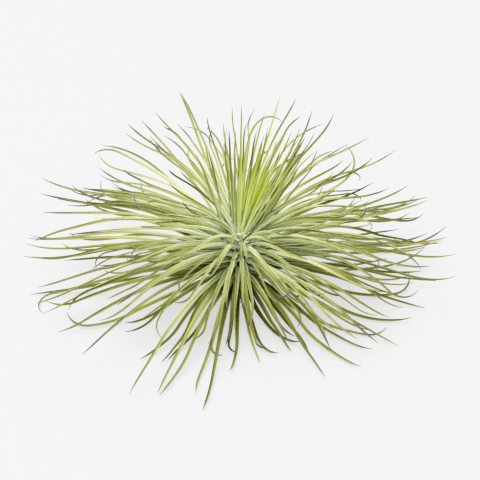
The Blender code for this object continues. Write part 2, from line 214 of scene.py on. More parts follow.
def drawHeartLeaf(n, age, azimuth, draw):
    share = (n - tuft["outerLeaves"]) / (tuft["heartLeaves"] - 1)
    return {
        "age": age,
        "azimuth": azimuth,
        "start": mix(*tuft["heartStart"], share) + draw.uniform(-0.5, 0.5) * tuft["startSpread"],
        "tipOver": tuft["leanHeart"],
        "girth": tuft["heartGirth"],
        "sheath": 0.0,
        "height": mix(*tuft["heartRootHeight"], share),
        "radius": mix(*tuft["heartRootRadius"], share),
        "length": mix(*tuft["heartLength"], share) * draw.uniform(*tuft["lengthSpread"]),
        **drawBends(draw, bends["droopHeart"], 0.0, bends["heartBendShare"], bends["heartLift"], False),
    }


def drawOuterLeaf(n, age, azimuth, draw):
    share = n / (tuft["outerLeaves"] - 1)
    low, high = tuft["outerStart"]
    start = math.asin(mix(math.sin(low), math.sin(high), share ** tuft["startRise"]))
    start = min(start + draw.uniform(-1, 1) * tuft["startSpread"], high)
    sideSway = bends["sideSwayBack"] if math.sin(azimuth) > 0 else bends["sideSwayFront"]
    sideSway *= math.sin(2 * azimuth) * (1 - bends["sideSwayFade"] * age)
    return {
        "age": age,
        "azimuth": azimuth,
        "start": start,
        "tipOver": 0.0,
        "girth": leafGirth(age),
        "sheath": max(0.0, min(tuft["sheathBend"], tuft["sheathSteepest"] - start)),
        "height": mix(*tuft["outerRootHeight"], share ** tuft["rootRise"]),
        "radius": mix(*tuft["outerRootRadius"], share),
        "length": leafLength(age, azimuth) * draw.uniform(*tuft["lengthSpread"]),
        **drawBends(draw, leafDroop(age, azimuth), sideSway, 1.0, bends["liftSpread"], True),
    }


def drawLeaf(n, attempt):
    # Leaf n of the spiral, from the lowest up; another attempt draws its differences anew
    draw = random.Random(tuft["seed"] * 100003 + n * 101 + attempt)
    age = n / (tuft["outerLeaves"] + tuft["heartLeaves"] - 1)
    azimuth = n * tuft["goldenAngle"] + draw.uniform(-1, 1) * tuft["turnSpread"]
    if math.sin(azimuth) > 0:
        azimuth -= bends["sideGather"] * (1 - age) * math.sin(2 * azimuth)
    if n >= tuft["outerLeaves"]:
        return drawHeartLeaf(n, age, azimuth, draw)
    return drawOuterLeaf(n, age, azimuth, draw)


def strayLeaf(row):
    azimuth, start, length, droop, sway, lift, curl, age = row
    return {
        "azimuth": math.radians(azimuth),
        "start": math.radians(start),
        "tipOver": 0.0,
        "girth": leafGirth(age),
        "sheath": tuft["sheathBend"],
        "height": mix(*tuft["outerRootHeight"], age ** tuft["rootRise"]),
        "radius": mix(*tuft["outerRootRadius"], age),
        "length": length / 1000,
        "droop": math.radians(droop),
        "sway": math.radians(sway),
        "curl": math.radians(curl),
        "hook": 0.0,
        "lift": math.radians(lift),
        "twist": 0.0,
        "age": age,
    }


def leafPath(leaf):
    # Middle line with heading and pitch: opens out of the sheath, droops most halfway, lifts and curls
    # at the tip, levels out low down
    h, p = leaf["azimuth"], leaf["start"]
    dx, dy, dz = lean(math.cos(p) * math.cos(h), math.cos(p) * math.sin(h), math.sin(p))
    c, s = math.cos(leaf["tipOver"]), math.sin(leaf["tipOver"])
    dx, dz = dx * c + dz * s, dz * c - dx * s
    x, y, z = lean(leaf["radius"] * math.cos(h), leaf["radius"] * math.sin(h), leaf["height"])
    heading, pitch = math.atan2(dy, dx), math.asin(max(-1.0, min(1.0, dz)))
    pitch += leaf["sheath"]
    points = [(x, y, z, heading, pitch)]
    closed = leaf["sheath"]
    steps, tipStart, hookStart = path["steps"], bends["tipStart"], bends["hookStart"]
    step = leaf["length"] / steps
    for k in range(steps):
        t = (k + 0.5) / steps
        bend = 2 * t if t < 0.5 else 2 * (1 - t)
        tip = max(0.0, t - tipStart) / (1 - tipStart)
        hook = 1.0 if t > hookStart else 0.0
        opening = min(closed, leaf["sheath"] * step / tuft["sheathLength"])
        closed -= opening
        pitch -= opening + leaf["droop"] * bend * 2 / steps
        pitch += leaf["lift"] * tip * 2 / (steps * (1 - tipStart))
        heading += leaf["sway"] / steps + leaf["curl"] * tip * 2 / (steps * (1 - tipStart))
        heading += leaf["hook"] * hook / (steps * (1 - hookStart))
        pitch = max(pitch, -math.asin(max(0.0, min(1.0, (z - path["floorClear"]) / path["floorLook"]))))
        x += step * math.cos(pitch) * math.cos(heading)
        y += step * math.cos(pitch) * math.sin(heading)
        z = max(path["floorClear"], z + step * math.sin(pitch))
        points.append((x, y, z, heading, pitch))
    return points


def solidWidth(t, girth):
    narrow = mix(path["rootNarrowing"], 1.0, smooth(t / path["rootNarrowEnd"]))
    return mix(path["solidWidth"], path["solidTipWidth"], t) * narrow * girth


def freePoints(leaf):
    steps, points = path["steps"], leafPath(leaf)
    return np.array([(*points[k][:3], path["roomShare"] * solidWidth(k / steps, leaf["girth"]))
                     for k in range(path["freeFrom"], steps + 1)])


def room(own, there):
    # Least gap from a new leaf's points, with those halfway between them, to the points that are there
    own = np.concatenate([own, (own[1:] + own[:-1]) / 2])
    squares = (own[:, :3] ** 2).sum(1)[:, None] + (there[:, :3] ** 2).sum(1)[None]
    squares = np.maximum(squares - 2 * own[:, :3] @ there[:, :3].T, 0.0)
    return float((np.sqrt(squares) - own[:, 3:] - there[:, 3][None]).min())


def growTuft():
    # Each leaf is drawn until there is room for it, and otherwise stays where it has most
    outer = [strayLeaf(row) for row in strays]
    heart = []
    there = np.concatenate([freePoints(leaf) for leaf in outer])
    for n in range(tuft["firstLeaf"], tuft["outerLeaves"] + tuft["heartLeaves"]):
        young = n >= tuft["outerLeaves"]
        best = None
        for attempt in range(path["heartTries"] if young else path["outerTries"]):
            leaf = drawLeaf(n, attempt)
            points = freePoints(leaf)
            free = room(points, there)
            if best is None or free > best[0]:
                best = (free, leaf, points)
            if free > (path["heartRoom"] if young else path["outerRoom"]):
                break
        (heart if young else outer).append(best[1])
        there = np.concatenate([there, best[2]])
    return outer, heart


# Slender leaves too fine for the solids, between the others
slender = {
    "seed": 70,
    "count": 60,
    "attempts": (40, 140),  # first draws that place them and that curl them
    "girth": (0.55, 0.80),
    "shorter": (0.72, 1.0),
    "turn": math.radians(60),
    "sideTurn": math.radians(16),  # away from the back and the front, where few show
    "firstAge": 0.42,
    "curl": 2.0,  # how much more their ends curl and hook
    "hook": 1.6,
}
uprights = {  # round the heart, straighter and steeper than the rest
    "count": 24,
    "attempt": 60,
    "spacing": 0.7,  # under 1 it sends more of them outwards
    "frontFrom": -0.25,  # sine of the direction from which one would hide the heart
    "radius": (0.0022, 0.0058),
    "height": (0.0355, 0.0270),
    "steepest": math.radians(88),
    "out": (math.radians(4), math.radians(18)),
    "leanShare": 0.5,
    "length": (0.050, 0.072),
    "girth": (0.55, 0.80),
    "age": 0.86,
}


def slenderLeaf(k, draw):
    # The same rule at ages between those of the others, turned so that they fall into the gaps
    share = slender["firstAge"] + (1 - slender["firstAge"]) * (k + 0.5) / slender["count"]
    n = int(share * (tuft["outerLeaves"] - 1))
    leaf, other = (drawLeaf(n, first + k) for first in slender["attempts"])
    leaf["azimuth"] += draw.uniform(-1, 1) * slender["turn"]
    leaf["azimuth"] -= slender["sideTurn"] * math.sin(2 * leaf["azimuth"])
    age, azimuth = leaf["age"], leaf["azimuth"]
    leaf["length"] = leafLength(age, azimuth) * draw.uniform(*slender["shorter"])
    leaf["droop"] = math.radians(leafDroop(age, azimuth) * draw.uniform(*bends["droopSpread"]))
    leaf["girth"] *= draw.uniform(*slender["girth"])
    leaf["curl"] = other["curl"] * slender["curl"]
    leaf["hook"] = other["twist"] * slender["hook"]
    return leaf


def uprightLeaf(k, draw):
    leaf = drawLeaf(tuft["outerLeaves"] + k, uprights["attempt"] + k)
    off = draw.random() ** uprights["spacing"]
    if math.sin(leaf["azimuth"]) < uprights["frontFrom"]:
        leaf["azimuth"] = -leaf["azimuth"]
    leaf["start"] = uprights["steepest"] - mix(*uprights["out"], off)
    leaf["radius"] = mix(*uprights["radius"], off)
    leaf["height"] = mix(*uprights["height"], off)
    leaf["tipOver"] = tuft["leanHeart"] * uprights["leanShare"]
    leaf["length"] = draw.uniform(*uprights["length"])
    leaf["girth"] = draw.uniform(*uprights["girth"])
    leaf["age"] = uprights["age"]
    return leaf


def growSlender():
    draw = random.Random(slender["seed"])
    leaves = [slenderLeaf(k, draw) for k in range(slender["count"])]
    return leaves + [uprightLeaf(k, draw) for k in range(uprights["count"])]


# Blade: width along the leaf, and its channelled section in shares of the width
blade = {
    "width": 0.0031,
    "threadWidth": 0.00086,
    "threadShare": 0.5,  # how far the end follows a slender leaf's girth
    "taper": 1.10,
    "pointed": 0.08,  # last share of the length, where the thread comes to a point
    "tipShare": 0.3,  # what is left of its width at the very tip
    "sheathExtra": 0.0012,  # broad base that wraps the stem
    "sheathEnd": 0.17,
    "roundFrom": 0.38,  # where the channel closes into a thread
    "roundTo": 0.78,
    "plump": (0.86, 1.12),
    "seeds": {"outer": 21, "slender": 24, "heart": 22},
    "steepPlump": 0.86,  # how wide the leaves stay from steepAge on
    "steepAge": 0.7,
    "youngAge": 0.85,  # past it the leaves are evenly light and never dry
    "youngTone": (0.4, 0.95),
    "waveSize": 0.0006,  # small bends of the thin end
    "waveSpread": (0.2, 1.0),
    "waveCount": 2.2,
    "waveFrom": 0.45,
    "waveGrowth": 1.5,
    "section": ((-0.50, 0.30), (-0.31, 0.07), (0.0, -0.06), (0.31, 0.07), (0.50, 0.30),
                (0.46, 0.10), (0.28, -0.16), (0.0, -0.28), (-0.28, -0.16), (-0.46, 0.10)),
    "middle": -0.02,  # height of the section's own middle
}


def keepAbove(points):
    # Nothing goes below the surface
    points[..., 2] = np.maximum(points[..., 2], path["floorTouch"])
    return points


def takeMesh(master, shift=(0, 0, 0)):
    # The points and faces of a master, which isn't kept itself; extruding stores the faces in another order
    # at each run, so they are sorted
    points = np.array([tuple(v.co) for v in master.data.vertices]) + shift
    faces = sorted(tuple(face.vertices) for face in master.data.polygons)
    bpy.data.objects.remove(master)
    return points, faces


def addPiece(name, data):
    piece = bpy.data.objects.new(name, data)
    bpy.context.collection.objects.link(piece)
    return piece


def editAll(piece):
    # Edit mode with all of one piece selected, and nothing else
    bpy.ops.object.select_all(action="DESELECT")
    piece.select_set(True)
    bpy.context.view_layer.objects.active = piece
    bpy.ops.object.mode_set(mode="EDIT")
    bpy.ops.mesh.select_all(action="SELECT")


def spunMesh(outline, sides):
    # A closed body of rings, each a radius and a height, drawn upwards from its foot
    bpy.ops.object.select_all(action="DESELECT")
    radius, height = outline[0]
    bpy.ops.mesh.primitive_circle_add(vertices=sides, radius=radius, fill_type="NGON")
    body = bpy.context.object
    editAll(body)
    bpy.ops.transform.translate(value=(0, 0, height))
    for (lowRadius, low), (highRadius, high) in zip(outline, outline[1:]):
        bpy.ops.mesh.extrude_region_move(TRANSFORM_OT_translate={"value": (0, 0, high - low)})
        grow = highRadius / lowRadius
        bpy.ops.transform.resize(value=(grow, grow, 1), center_override=(0, 0, high))
    bpy.ops.object.mode_set(mode="OBJECT")
    return takeMesh(body)


def masterBlade():
    # One straight blade a metre long on +Z; every leaf is a bent copy of it
    steps = path["steps"]
    points, faces = spunMesh([(1.0, k / steps) for k in range(steps + 1)], len(blade["section"]))
    points[:, :2] = np.tile(blade["section"], (steps + 1, 1))
    return points, faces


def roundSection(points):
    # Angle of each point of the master round the middle of the section
    return np.arctan2(points[:, 1] - blade["middle"], points[:, 0])


def bladeWidth(t, scale):
    # A slender leaf is thinner along the blade, but its end is nearly as wide as any
    width = (blade["width"] - blade["threadWidth"]) * (1 - t) ** blade["taper"]
    width += blade["sheathExtra"] * (1 - smooth(t / blade["sheathEnd"]))
    width = width * scale + blade["threadWidth"] * mix(1.0, scale, blade["threadShare"])
    return width * min(1.0, mix(blade["tipShare"], 1.0, (1 - t) / blade["pointed"]))


def leafAxes(heading, pitch):
    # Level across the leaf, and out of its upper face
    side = np.stack([-np.sin(heading), np.cos(heading), np.zeros_like(heading)], 1)
    face = np.stack([-np.sin(pitch) * np.cos(heading), -np.sin(pitch) * np.sin(heading), np.cos(pitch)], 1)
    return side, face


def bentBlade(points, leaf, draw):
    # Places the master's points along a leaf's path
    line, t, steps = np.array(leafPath(leaf)), points[:, 2], path["steps"]
    spot = np.clip(np.rint(t * steps).astype(int), 0, steps)
    side, face = leafAxes(line[spot, 3], line[spot, 4])
    roll = (leaf["twist"] * smooth(t))[:, None]
    across = side * np.cos(roll) + face * np.sin(roll)
    above = face * np.cos(roll) - side * np.sin(roll)
    loose = np.clip((t - blade["waveFrom"]) / (1 - blade["waveFrom"]), 0, 1) ** blade["waveGrowth"]
    phase = draw.uniform(0, 2 * math.pi)
    wave = np.sin(phase + t * blade["waveCount"] * 2 * math.pi) * blade["waveSize"]
    wave = wave * draw.uniform(*blade["waveSpread"]) * loose
    scale = leaf["girth"] * leaf["plump"]
    width = np.array([bladeWidth(k / steps, scale) for k in range(steps + 1)])[spot]
    closing = smooth((t - blade["roundFrom"]) / (blade["roundTo"] - blade["roundFrom"]))[:, None]
    around = roundSection(points)
    thread = 0.5 * np.stack([np.cos(around), np.sin(around)], 1)
    shape = points[:, :2] * (1 - closing) + thread * closing
    place = line[spot, :3] + side * wave[:, None]
    return keepAbove(place + (across * shape[:, :1] + above * shape[:, 1:]) * width[:, None])


def joinCopies(name, faces, points, uv, owners):
    # One mesh of copies with the same faces: points has one row a copy, uv one row a face corner, and each
    # copy takes the tone, age and dryness of its owner
    count, corners = len(points), np.concatenate(faces)
    sizes = np.array([len(face) for face in faces])
    mesh = bpy.data.meshes.new(name)
    mesh.vertices.add(count * points.shape[1])
    mesh.vertices.foreach_set("co", points.ravel())
    loops = (corners[None] + np.arange(count)[:, None] * points.shape[1]).ravel()
    mesh.loops.add(len(loops))
    mesh.loops.foreach_set("vertex_index", loops)
    totals = np.tile(sizes, count)
    mesh.polygons.add(len(totals))
    mesh.polygons.foreach_set("loop_start", np.concatenate([[0], np.cumsum(totals)[:-1]]))
    mesh.polygons.foreach_set("loop_total", totals)
    mesh.update(calc_edges=True)
    mesh.uv_layers.new(name="blade").data.foreach_set("uv", uv.ravel())
    for label in ("tone", "age", "dry"):
        values = np.repeat([owner[label] for owner in owners], points.shape[1])
        mesh.attributes.new(label, "FLOAT", "POINT").data.foreach_set("value", values)
    mesh.shade_smooth()
    return addPiece(name, mesh)


def joinBlades(kind, master, leaves):
    # u runs round and v along each blade
    points, faces = master
    draw = random.Random(blade["seeds"][kind])
    corners = np.concatenate(faces)
    turn = roundSection(points) / (2 * math.pi) + 0.5
    seamU = []
    for face in faces:
        around = [turn[v] for v in face]
        wraps = max(around) - min(around) > 0.5 and len(face) < len(blade["section"])
        seamU += [u + 1 if wraps and u < 0.5 else u for u in around]
    uv = np.stack([np.array(seamU), points[corners, 2]], 1)
    for leaf in leaves:
        steep = mix(1.0, blade["steepPlump"], smooth(leaf["age"] / blade["steepAge"]))
        leaf["plump"] = draw.uniform(*blade["plump"]) * steep
        leaf["skin"] = bentBlade(points, leaf, draw)
        leaf["tone"] = draw.random()
        leaf["dry"] = draw.random()
        if leaf["age"] > blade["youngAge"]:
            leaf["tone"] = mix(*blade["youngTone"], leaf["tone"])
            leaf["dry"] = 0.0
    skins = np.stack([leaf["skin"] for leaf in leaves])
    return joinCopies(kind + "Leaves", faces, skins, np.tile(uv, (len(leaves), 1)), leaves)


# Sheaths: each leaf starts as a spoon-shaped base that wraps the stem
sheath = {
    "length": 0.012,
    "shortest": 0.5,  # length of the smallest, as a share of the longest
    "width": 0.0060,
    "rootShare": 0.7,  # width at the root, in shares of the widest
    "rootEnd": 0.3,
    "endWidth": 0.0018,
    "wrap": (math.radians(64), math.radians(24)),  # how far each edge turns, at the root and at the end
    "thickness": 0.00045,
    "edgeLoss": 0.75,  # share of the thickness that the edges lack
    "rise": (0.0003, -0.0006),  # above the blade's middle line, at the root and at the end
    "youngShare": (0.62, 0.30),  # sizes of the youngest outer and of the heart sheaths
    "faces": (6, 8),  # across and along
    "innerU": (0.75, 0.4),  # middle and span on the blade's u: the channel's colours inside
    "outerU": (0.25, -0.4),  # and the underside's painted shade outside
}


def flatPlate(across, along):
    # A flat closed plate a unit wide, long and thick; sheaths and dry scales are bent copies of it
    bpy.ops.object.select_all(action="DESELECT")
    bpy.ops.mesh.primitive_grid_add(x_subdivisions=across, y_subdivisions=along, size=1)
    plate = bpy.context.object
    wall = plate.modifiers.new("wall", "SOLIDIFY")
    wall.thickness = 1
    wall.offset = -1
    bpy.ops.object.modifier_apply(modifier=wall.name)
    return takeMesh(plate, (0, 0.5, 0))


def alongPath(leaf, distance):
    # Place and axes at distances along a leaf's path
    line = np.array(leafPath(leaf))
    spot = np.clip(distance / leaf["length"] * path["steps"], 0, path["steps"] - 1e-6)
    low = np.floor(spot).astype(int)
    share = (spot - low)[:, None]
    row = line[low] * (1 - share) + line[low + 1] * share
    return row[:, :3], *leafAxes(row[:, 3], row[:, 4])


def bentSheath(points, leaf, size):
    a, t, deep = points.T
    place, side, face = alongPath(leaf, t * sheath["length"] * mix(sheath["shortest"], 1.0, size))
    ease = smooth(t)
    foot = mix(sheath["rootShare"], 1.0, smooth(t / sheath["rootEnd"]))
    width = sheath["endWidth"] + (sheath["width"] * size - sheath["endWidth"]) * (1 - ease) * foot
    wrap = mix(*sheath["wrap"], ease)
    turn = wrap * 2 * a
    radius = width / (2 * wrap)
    thick = deep * sheath["thickness"] * (1 - sheath["edgeLoss"] * (2 * np.abs(a)) ** 2)
    rise = mix(*sheath["rise"], ease) + thick * np.cos(turn) + radius * (1 - np.cos(turn))
    return keepAbove(place + side * ((radius - thick) * np.sin(turn))[:, None] + face * rise[:, None])


def addSheaths(leaves):
    points, faces = flatPlate(*sheath["faces"])
    corners = np.concatenate(faces)
    a, t, deep = points[corners].T
    inner, outer = (middle + span * a for middle, span in (sheath["innerU"], sheath["outerU"]))
    u = np.where(deep > -0.5, inner, outer)
    young, heart = sheath["youngShare"]
    rows, uv = [], []
    for leaf in leaves:
        size = heart if leaf["radius"] < tuft["outerRootRadius"][1] else mix(1.0, young, leaf["age"])
        rows.append(bentSheath(points, leaf, size))
        uv.append(np.stack([u, t * sheath["length"] / leaf["length"]], 1))
    return joinCopies("leafSheaths", faces, np.stack(rows), np.concatenate(uv), leaves)


# Silvery scales: small pointed wings that stand off the leaves, thick on their bases
hairs = {
    "basePerMillimetre": 11.0,
    "fade": 13.0,  # millimetres along the leaf over which they thin out
    "reach": 0.026,  # none grow further along
    "length": (0.00045, 0.00085),
    "width": 0.00018,
    "thickness": 0.00005,
    "sunk": 0.00005,
    "stand": (0.35, 1.0),  # how steeply they stand off the leaf
    "spread": 0.35,
    "inside": 0.0005,  # how far under its path the inside of a leaf is sought
    "seed": 23,
}


def masterHair():
    bpy.ops.object.select_all(action="DESELECT")
    bpy.ops.mesh.primitive_cone_add(vertices=3, radius1=0.5, radius2=0, depth=1)
    return takeMesh(bpy.context.object, (0, 0, 0.5))


def unit(vectors):
    return vectors / np.maximum(np.linalg.norm(vectors, axis=-1, keepdims=True), 1e-12)


def addHairs(bladeMaster, leaves):
    points, faces = masterHair()
    corners = np.concatenate(faces)
    draw = np.random.default_rng(hairs["seed"])
    quads = np.array([face for face in bladeMaster[1] if len(face) == 4])
    quadT = bladeMaster[0][quads, 2].mean(1)
    fade = hairs["fade"]
    rows, uv, owners = [], [], []
    for leaf in leaves:
        length = leaf["length"] * 1000
        count = int(hairs["basePerMillimetre"] * fade * (1 - math.exp(-length / fade)))
        skin = leaf["skin"][quads]
        wide = np.linalg.norm(skin[:, 0] - skin[:, 2], axis=1)
        chance = wide * np.exp(-quadT * length / fade) * (quadT * leaf["length"] < hairs["reach"])
        chosen = draw.choice(len(quads), count, p=chance / chance.sum())
        a, b = draw.random((2, count, 1))
        one, two, three, four = skin[chosen].transpose(1, 0, 2)
        foot = (one * (1 - a) + two * a) * (1 - b) + (four * (1 - a) + three * a) * b
        place, side, face = alongPath(leaf, quadT[chosen] * leaf["length"])
        out = unit(np.cross(three - one, four - two))
        out *= np.where((out * (foot - place + face * hairs["inside"])).sum(1) < 0, -1, 1)[:, None]
        stand = draw.uniform(*hairs["stand"], (count, 1))
        onward = np.cross(face, side)
        aim = unit(out * stand + onward + draw.normal(0, hairs["spread"], (count, 3)))
        across = unit(np.cross(aim, out))
        flat = np.cross(across, aim)
        size = draw.uniform(*hairs["length"], (count, 1))
        wing = (foot - out * hairs["sunk"])[:, None] + across[:, None] * points[:, :1] * hairs["width"]
        wing += flat[:, None] * points[:, 1:2] * hairs["thickness"]
        wing += aim[:, None] * points[:, 2:] * size[:, None]
        rows.append(keepAbove(wing))
        u = np.broadcast_to(points[corners, 2], (count, len(corners)))
        v = np.broadcast_to(quadT[chosen][:, None], u.shape)
        uv.append(np.stack([u, v], 2).reshape(-1, 2))
        owners += [leaf] * count
    return joinCopies("silverHairs", faces, np.concatenate(rows), np.concatenate(uv), owners)


# Stem and stub: a short woody axis, and below it the dry foot with papery scales and wiry roots
stem = {
    "outline": ((0.0044, 0.0093), (0.0042, 0.0120), (0.0038, 0.0200), (0.0030, 0.0290), (0.0022, 0.0345),
                (0.0011, 0.0372), (0.0003, 0.0384)),
    "sides": 24,
}
stub = {
    "outline": ((0.0050, 0.0), (0.0056, 0.0006), (0.0059, 0.0016), (0.0057, 0.0030), (0.0054, 0.0045),
                (0.0051, 0.0062), (0.0048, 0.0078), (0.0045, 0.0094)),
    "sides": 48,
    "ridges": ((7, 0.035), (13, 0.03), (23, 0.02)),  # how many, and how deep in shares of the radius
    "ridgePhase": (0, 6.28),
    "ridgeSlant": (-150, 150),  # radians a metre
    "seed": 24,
}
dryScale = {
    "rows": 4,
    "inRow": 11,
    "faces": (4, 5),
    "turnSpread": (-0.2, 0.2),
    "lowest": 0.0004,
    "rowRise": 0.0019,
    "riseSpread": (0, 0.0005),
    "ring": 0.0054,  # distance from the middle, and how much less a row up
    "rowInset": 0.00028,
    "length": (0.0036, 0.0062),
    "width": 0.0036,
    "widthSpread": (0.8, 1.1),
    "narrowing": 0.88,  # share of the width that the tip lacks
    "taper": 2.2,
    "thickness": 0.00022,
    "flare": (math.radians(2), math.radians(30)),  # how far it leans off the stub
    "curl": (-0.07, 0.28),
    "cup": 0.105,
    "twist": (-0.25, 0.25),
    "crumple": 0.00012,
    "folds": (9, 7),
    "seed": 25,
}
roots = {
    "count": 9,
    "turnSpread": (-0.3, 0.3),
    "length": (0.009, 0.018),
    "thickness": (0.00032, 0.00055),
    "thinning": 0.65,
    "radius": 0.0048,  # distance of their starts from the middle
    "height": (0.0008, 0.0030),
    "sink": (-0.0008, 0.0003),  # fall or rise from point to point
    "points": 14,
    "wander": math.radians(26),
    "seed": 26,
}


def spunBody(name, form):
    mesh = bpy.data.meshes.new(name)
    points, faces = spunMesh(form["outline"], form["sides"])
    mesh.from_pydata(points, [], faces)
    mesh.shade_smooth()
    return addPiece(name, mesh)


def addStem():
    body = spunBody("stemAxis", stem)
    for point in body.data.vertices:
        point.co = lean(*point.co)
    return body


def addStub():
    # The foot stands upright and level; the lean of the tuft comes in towards the top
    body = spunBody("stemStub", stub)
    draw = random.Random(stub["seed"])
    waves = [(number, depth, draw.uniform(*stub["ridgePhase"]), draw.uniform(*stub["ridgeSlant"]))
             for number, depth in stub["ridges"]]
    top = stub["outline"][-1][1]
    for point in body.data.vertices:
        turn = math.atan2(point.co.y, point.co.x)
        ridge = 1 + sum(depth * math.sin(number * turn + phase + slant * point.co.z)
                        for number, depth, phase, slant in waves)
        point.co.x *= ridge
        point.co.y *= ridge
        share = point.co.z / top
        point.co = point.co.lerp(Vector(lean(*point.co)), share * share)
    return body


def bentScale(points, row, k, draw):
    # One papery base, cupped, leaning off the foot and a little crumpled
    a, t, deep = points.T
    drawn = ("turnSpread", "length", "riseSpread", "flare", "curl", "widthSpread", "twist")
    off, length, rise, flare, curl, wide, twist = (draw.uniform(*dryScale[key]) for key in drawn)
    turn = 2 * math.pi * (k + 0.5 * (row % 2) + off) / dryScale["inRow"]
    width = dryScale["width"] * wide * (1 - t ** dryScale["taper"] * dryScale["narrowing"])
    off = dryScale["ring"] - dryScale["rowInset"] * row + length * (t * math.sin(flare) + curl * t ** 3)
    off = off + deep * dryScale["thickness"] - dryScale["cup"] * width * (2 * a) ** 2
    across, along = dryScale["folds"]
    off = off + dryScale["crumple"] * np.sin(across * a + along * t + row + k)
    outward = np.array([math.cos(turn), math.sin(turn), 0.0])
    side = np.array([-math.sin(turn), math.cos(turn), 0.0])
    place = outward * off[:, None] + side * (a * width + twist * t * length)[:, None]
    place[:, 2] = dryScale["lowest"] + dryScale["rowRise"] * row + rise + length * t * math.cos(flare)
    return keepAbove(place)


def addDryScales():
    # Papery bases of leaves that have died, in overlapping rows round the foot
    points, faces = flatPlate(*dryScale["faces"])
    corners = np.concatenate(faces)
    draw = random.Random(dryScale["seed"])
    rows, owners = [], []
    for row in range(dryScale["rows"]):
        for k in range(dryScale["inRow"]):
            rows.append(bentScale(points, row, k, draw))
            owners.append({"tone": draw.random(), "age": 0.0, "dry": 1.0})
    uv = np.tile(points[corners][:, :2] + (0.5, 0), (len(rows), 1))
    return joinCopies("dryScales", faces, np.stack(rows), uv, owners)


def addRoot(k, draw):
    drawn = ("turnSpread", "length", "thickness", "height")
    off, length, thickness, z = (draw.uniform(*roots[key]) for key in drawn)
    heading = 2 * math.pi * (k + off) / roots["count"]
    x, y = roots["radius"] * math.cos(heading), roots["radius"] * math.sin(heading)
    count = roots["points"]
    curve = bpy.data.curves.new("root", "CURVE")
    curve.dimensions = "3D"
    curve.bevel_depth = thickness / 2
    curve.bevel_resolution = 1
    curve.resolution_u = 2
    curve.use_fill_caps = True
    line = curve.splines.new("NURBS")
    line.points.add(count - 1)
    line.use_endpoint_u = True
    line.order_u = 3
    for j, point in enumerate(line.points):
        point.co = (x, y, z, 1.0)
        point.radius = 1 - roots["thinning"] * j / count
        heading += draw.gauss(0, 1) * roots["wander"]
        x += length / count * math.cos(heading)
        y += length / count * math.sin(heading)
        z = max(thickness / 2, z + draw.uniform(*roots["sink"]))
    return addPiece("root", curve)


def addRoots():
    # Wiry roots that leave the foot and wander over the surface
    bpy.ops.object.select_all(action="DESELECT")
    draw = random.Random(roots["seed"])
    made = [addRoot(k, draw) for k in range(roots["count"])]
    for root in made:
        root.select_set(True)
    bpy.context.view_layer.objects.active = made[0]
    bpy.ops.object.convert(target="MESH")
    bpy.ops.object.join()
    body = bpy.context.object
    body.name = "wiryRoots"
    body.data.name = "wiryRoots"
    return body


def facingOut(piece):
    # Turns a closed mesh's faces outward
    editAll(piece)
    bpy.ops.mesh.normals_make_consistent(inside=False)
    bpy.ops.object.mode_set(mode="OBJECT")


# Materials
def newMaterial(name, surface):
    material = bpy.data.materials.new(name)
    material.use_nodes = True
    tree = material.node_tree
    shader = tree.nodes["Principled BSDF"]
    for key, value in surface.items():
        shader.inputs[key].default_value = value
    return material, tree, shader


def node(tree, kind, **settings):
    # A setting may be one of the node's inputs or one of its own values
    made = tree.nodes.new(kind)
    for key, value in settings.items():
        if key in made.inputs:
            made.inputs[key].default_value = value
        else:
            setattr(made, key, value)
    return made


def feed(sockets, values):
    # Each socket takes another node's output or a plain value
    for socket, value in zip(sockets, values):
        if isinstance(value, bpy.types.NodeSocket):
            socket.id_data.links.new(value, socket)
        else:
            socket.default_value = value


def ramp(source, stops):
    # A stop's colour may be one number, a grey
    made = node(source.id_data, "ShaderNodeValToRGB")
    elements = made.color_ramp.elements
    while len(elements) < len(stops):
        elements.new(0.5)
    for element, (place, colour) in zip(elements, stops):
        element.position = place
        element.color = (*colour, 1.0) if isinstance(colour, tuple) else (colour, colour, colour, 1.0)
    feed(made.inputs, [source])
    return made.outputs["Color"]


def mixColour(factor, a, b, kind="MIX"):
    made = node(a.id_data, "ShaderNodeMix", data_type="RGBA", blend_type=kind)
    feed([made.inputs[k] for k in (0, 6, 7)], (factor, a, b))
    return made.outputs[2]


def maths(operation, a, b, clamp=False):
    made = node(a.id_data, "ShaderNodeMath", operation=operation, use_clamp=clamp)
    feed(made.inputs, (a, b))
    return made.outputs[0]


def product(first, *others):
    for other in others:
        first = maths("MULTIPLY", first, other)
    return first


def shaded(colour, *shades):
    for shade in shades:
        colour = mixColour(1.0, colour, shade, "MULTIPLY")
    return colour


def attribute(tree, label):
    return node(tree, "ShaderNodeAttribute", attribute_name=label).outputs["Fac"]


def objectPlace(tree):
    return node(tree, "ShaderNodeTexCoord").outputs["Object"]


def bladePlace(tree):
    # u round and v along a leaf, sheath or scale
    split = node(tree, "ShaderNodeSeparateXYZ")
    tree.links.new(node(tree, "ShaderNodeUVMap", uv_map="blade").outputs["UV"], split.inputs[0])
    return split.outputs[0], split.outputs[1]


def grain(place, scale, detail):
    made = node(place.id_data, "ShaderNodeTexNoise", Scale=scale, Detail=detail)
    feed(made.inputs, [place])
    return made.outputs["Fac"]


def streaks(sources, scales, detail):
    # Grain drawn out along a leaf: three coordinates, each times its own scale
    drawn = node(sources[0].id_data, "ShaderNodeCombineXYZ")
    feed(drawn.inputs, [product(source, scale) for source, scale in zip(sources, scales)])
    return grain(drawn.outputs[0], 1.0, detail)


def finish(shader, colour, height, strength, distance):
    bump = node(shader.id_data, "ShaderNodeBump", Strength=strength, Distance=distance)
    feed([bump.inputs["Height"], shader.inputs["Base Color"]], (height, colour))
    feed([shader.inputs["Normal"]], bump.outputs)


